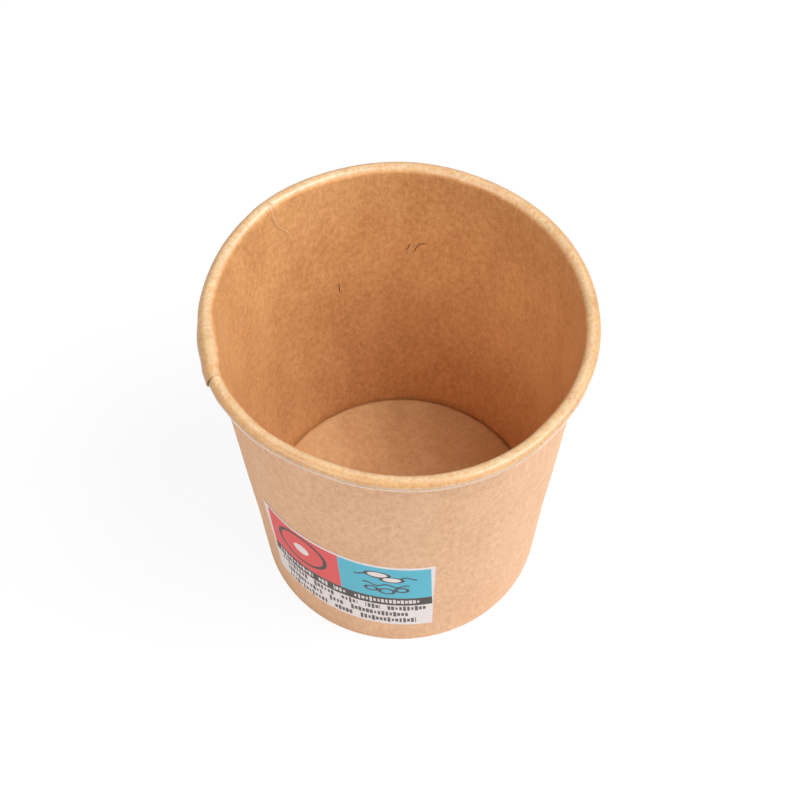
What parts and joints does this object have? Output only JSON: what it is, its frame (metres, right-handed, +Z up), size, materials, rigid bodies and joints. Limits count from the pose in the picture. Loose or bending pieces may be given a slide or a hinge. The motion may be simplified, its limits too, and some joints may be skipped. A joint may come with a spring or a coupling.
{
  "type": "kraft paper cup",
  "caption": "Small single-wall kraft paperboard cup with a curled rim, a lapped side seam, a recessed bottom disc held in a folded foot, and a plain paper label near the foot.",
  "frame": {"origin": "middle of the foot, on the surface that the cup stands on", "axes": "+Z runs up the cup's axis to the open mouth; -Y faces the viewer of the picture, with the label just left of it; +X is to the viewer's right"},
  "size_m": [0.062, 0.062, 0.0624],
  "materials": {
    "kraft_board": "matte",
    "kraft_disc": "matte",
    "label_paper": "matte"
  },
  "bodies": {
    "root": {"cup_wall": "kraft_board", "bottom_disc": "kraft_disc", "label": "label_paper"}
  },
  "joints": []
}
